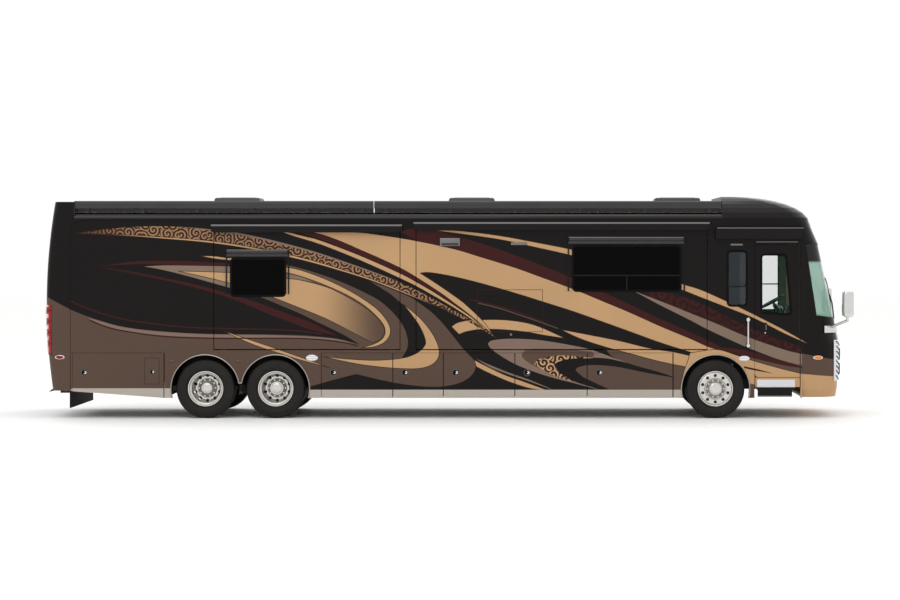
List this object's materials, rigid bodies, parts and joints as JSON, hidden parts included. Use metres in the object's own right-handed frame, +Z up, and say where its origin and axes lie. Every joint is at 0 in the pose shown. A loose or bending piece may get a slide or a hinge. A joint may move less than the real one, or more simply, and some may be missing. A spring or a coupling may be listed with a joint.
{
  "type": "motorhome",
  "caption": "Full-length motorhome coach with tag axle, slide-out rooms, entry door, baggage bay doors, steered front wheels and roof awnings.",
  "frame": {"origin": "on the ground, midway along and across the overall box", "axes": "+X forward, +Y to the left side of the vehicle, +Z up"},
  "size_m": [13.9302, 3.2, 3.8299],
  "materials": {
    "body_paint": "black and brown metallic paint with tan and burgundy stripes under clear coat",
    "roof_white": "satin white roof skin",
    "unit_white": "moulded off-white covers",
    "awning_grey": "satin grey coated aluminium",
    "chassis_black": "satin black chassis paint",
    "engine_iron": "painted cast iron",
    "rubber": "matt black rubber",
    "tyre": "black tyre rubber",
    "wheel_alloy": "polished alloy",
    "floor_grey": "sealed floor panel",
    "bay_grey": "grey coated sheet",
    "tinted_glass": "dark tinted glass",
    "clear_glass": "laminated glass with a green tint",
    "door_glass": "lightly tinted glass",
    "chrome": "bright chrome",
    "lamp_clear": "clear lamp lens",
    "lamp_red": "red lamp lens",
    "black_plastic": "gloss black moulding",
    "trim_brown": "soft brown moulding",
    "leather": "tan leather",
    "step_black": "black powder coat"
  },
  "bodies": {
    "coach": {"chassis_frame": "chassis_black", "hitch_receiver": "chassis_black", "engine": "engine_iron", "axles": "chassis_black", "air_springs": "rubber", "coach_floor": "floor_grey", "basement": "bay_grey", "skirt_panels": "body_paint", "side_wall_right": "body_paint", "side_wall_left": "body_paint", "cab_windows": "tinted_glass", "roof": "roof_white", "roof_units": "unit_white", "awnings": "awning_grey", "front_cap": "body_paint", "windshield": "clear_glass", "grille": "chrome", "headlamps": "lamp_clear", "mirrors": "black_plastic", "rear_cap": "body_paint", "tail_lamps": "lamp_red", "mud_flap": "rubber", "dashboard": "trim_brown", "cab_seats": "leather"},
    "knuckle_right": {"knuckle_right": "chassis_black"},
    "knuckle_left": {"knuckle_left": "chassis_black"},
    "front_wheel_right": {"front_wheel_right": "wheel_alloy", "front_tyre_right": "tyre"},
    "drive_wheels_right": {"drive_wheels_right": "wheel_alloy", "drive_tyres_right": "tyre"},
    "tag_wheel_right": {"tag_wheel_right": "wheel_alloy", "tag_tyre_right": "tyre"},
    "front_wheel_left": {"front_wheel_left": "wheel_alloy", "front_tyre_left": "tyre"},
    "drive_wheels_left": {"drive_wheels_left": "wheel_alloy", "drive_tyres_left": "tyre"},
    "tag_wheel_left": {"tag_wheel_left": "wheel_alloy", "tag_tyre_left": "tyre"},
    "steering_wheel": {"steering_wheel": "black_plastic"},
    "entry_door": {"entry_door": "body_paint", "entry_door_glass": "door_glass"},
    "entry_step": {"entry_step": "step_black"},
    "bay_door_right_1": {"bay_door_right_1": "body_paint"},
    "bay_door_right_2": {"bay_door_right_2": "body_paint"},
    "bay_door_right_3": {"bay_door_right_3": "body_paint"},
    "bay_door_right_4": {"bay_door_right_4": "body_paint"},
    "bay_door_right_5": {"bay_door_right_5": "body_paint"},
    "bay_door_left_1": {"bay_door_left_1": "body_paint"},
    "bay_door_left_2": {"bay_door_left_2": "body_paint"},
    "bay_door_left_3": {"bay_door_left_3": "body_paint"},
    "bay_door_left_4": {"bay_door_left_4": "body_paint"},
    "bay_door_left_5": {"bay_door_left_5": "body_paint"},
    "bay_door_right_rear": {"bay_door_right_rear": "body_paint"},
    "slideout_bedroom_right": {"slideout_bedroom_right": "body_paint", "slideout_bedroom_right_glass": "tinted_glass"},
    "slideout_living_right": {"slideout_living_right": "body_paint", "slideout_living_right_glass": "tinted_glass"},
    "slideout_left": {"slideout_left": "body_paint", "slideout_left_glass": "tinted_glass"}
  },
  "joints": [
    {"name": "steer_right", "type": "hinge", "parent": "coach", "child": "knuckle_right", "pos_m": [4.617, -0.93, 0.51], "axis": [0, 0, 1], "range_deg": [-45, 45]},
    {"name": "steer_left", "type": "hinge", "parent": "coach", "child": "knuckle_left", "pos_m": [4.617, 0.93, 0.51], "axis": [0, 0, 1], "range_deg": [-45, 45]},
    {"name": "front_wheel_right_turn", "type": "hinge", "parent": "knuckle_right", "child": "front_wheel_right", "pos_m": [4.617, -1.098, 0.51], "axis": [0, 1, 0], "continuous": true},
    {"name": "drive_wheels_right_turn", "type": "hinge", "parent": "coach", "child": "drive_wheels_right", "pos_m": [-2.983, -1.098, 0.51], "axis": [0, 1, 0], "continuous": true},
    {"name": "tag_wheel_right_turn", "type": "hinge", "parent": "coach", "child": "tag_wheel_right", "pos_m": [-4.195, -1.098, 0.51], "axis": [0, 1, 0], "continuous": true},
    {"name": "front_wheel_left_turn", "type": "hinge", "parent": "knuckle_left", "child": "front_wheel_left", "pos_m": [4.617, 1.098, 0.51], "axis": [0, 1, 0], "continuous": true},
    {"name": "drive_wheels_left_turn", "type": "hinge", "parent": "coach", "child": "drive_wheels_left", "pos_m": [-2.983, 1.098, 0.51], "axis": [0, 1, 0], "continuous": true},
    {"name": "tag_wheel_left_turn", "type": "hinge", "parent": "coach", "child": "tag_wheel_left", "pos_m": [-4.195, 1.098, 0.51], "axis": [0, 1, 0], "continuous": true},
    {"name": "steering_wheel_turn", "type": "hinge", "parent": "coach", "child": "steering_wheel", "pos_m": [5.798, 0.62, 1.975], "axis": [-0.4801, 0, 0.8772], "range_deg": [-720, 720]},
    {"name": "entry_door_hinge", "type": "hinge", "parent": "coach", "child": "entry_door", "pos_m": [6.068, -1.27, 1.8], "axis": [0, 0, 1], "range_deg": [0, 90]},
    {"name": "entry_step_slide", "type": "slide", "parent": "coach", "child": "entry_step", "axis": [0, -1, 0], "range_m": [0, 0.3]},
    {"name": "bay_door_right_1_hinge", "type": "hinge", "parent": "coach", "child": "bay_door_right_1", "pos_m": [-0.96215, -1.271, 0.75], "axis": [0, 0, 1], "range_deg": [0, 90]},
    {"name": "bay_door_right_2_hinge", "type": "hinge", "parent": "coach", "child": "bay_door_right_2", "pos_m": [-0.08989, -1.271, 0.75], "axis": [0, 0, 1], "range_deg": [0, 90]},
    {"name": "bay_door_right_3_hinge", "type": "hinge", "parent": "coach", "child": "bay_door_right_3", "pos_m": [1.14414, -1.271, 0.75], "axis": [0, 0, 1], "range_deg": [0, 90]},
    {"name": "bay_door_right_4_hinge", "type": "hinge", "parent": "coach", "child": "bay_door_right_4", "pos_m": [2.39213, -1.271, 0.75], "axis": [0, 0, 1], "range_deg": [0, 90]},
    {"name": "bay_door_right_5_hinge", "type": "hinge", "parent": "coach", "child": "bay_door_right_5", "pos_m": [3.872, -1.271, 0.75], "axis": [0, 0, 1], "range_deg": [0, 90]},
    {"name": "bay_door_left_1_hinge", "type": "hinge", "parent": "coach", "child": "bay_door_left_1", "pos_m": [-0.96215, 1.271, 0.75], "axis": [0, 0, -1], "range_deg": [0, 90]},
    {"name": "bay_door_left_2_hinge", "type": "hinge", "parent": "coach", "child": "bay_door_left_2", "pos_m": [-0.08989, 1.271, 0.75], "axis": [0, 0, -1], "range_deg": [0, 90]},
    {"name": "bay_door_left_3_hinge", "type": "hinge", "parent": "coach", "child": "bay_door_left_3", "pos_m": [1.14414, 1.271, 0.75], "axis": [0, 0, -1], "range_deg": [0, 90]},
    {"name": "bay_door_left_4_hinge", "type": "hinge", "parent": "coach", "child": "bay_door_left_4", "pos_m": [2.39213, 1.271, 0.75], "axis": [0, 0, -1], "range_deg": [0, 90]},
    {"name": "bay_door_left_5_hinge", "type": "hinge", "parent": "coach", "child": "bay_door_left_5", "pos_m": [3.872, 1.271, 0.75], "axis": [0, 0, -1], "range_deg": [0, 90]},
    {"name": "bay_door_right_rear_hinge", "type": "hinge", "parent": "coach", "child": "bay_door_right_rear", "pos_m": [-4.912, -1.271, 0.75], "axis": [0, 0, 1], "range_deg": [0, 90]},
    {"name": "slideout_bedroom_right_travel", "type": "slide", "parent": "coach", "child": "slideout_bedroom_right", "axis": [0, -1, 0], "range_m": [0, 0.6]},
    {"name": "slideout_living_right_travel", "type": "slide", "parent": "coach", "child": "slideout_living_right", "axis": [0, -1, 0], "range_m": [0, 0.68]},
    {"name": "slideout_left_travel", "type": "slide", "parent": "coach", "child": "slideout_left", "axis": [0, 1, 0], "range_m": [0, 0.68]}
  ],
  "couplings": [
    {"joint": "steer_left", "follows": "steer_right", "ratio": 1},
    {"joint": "steering_wheel_turn", "follows": "steer_right", "ratio": 16}
  ]
}
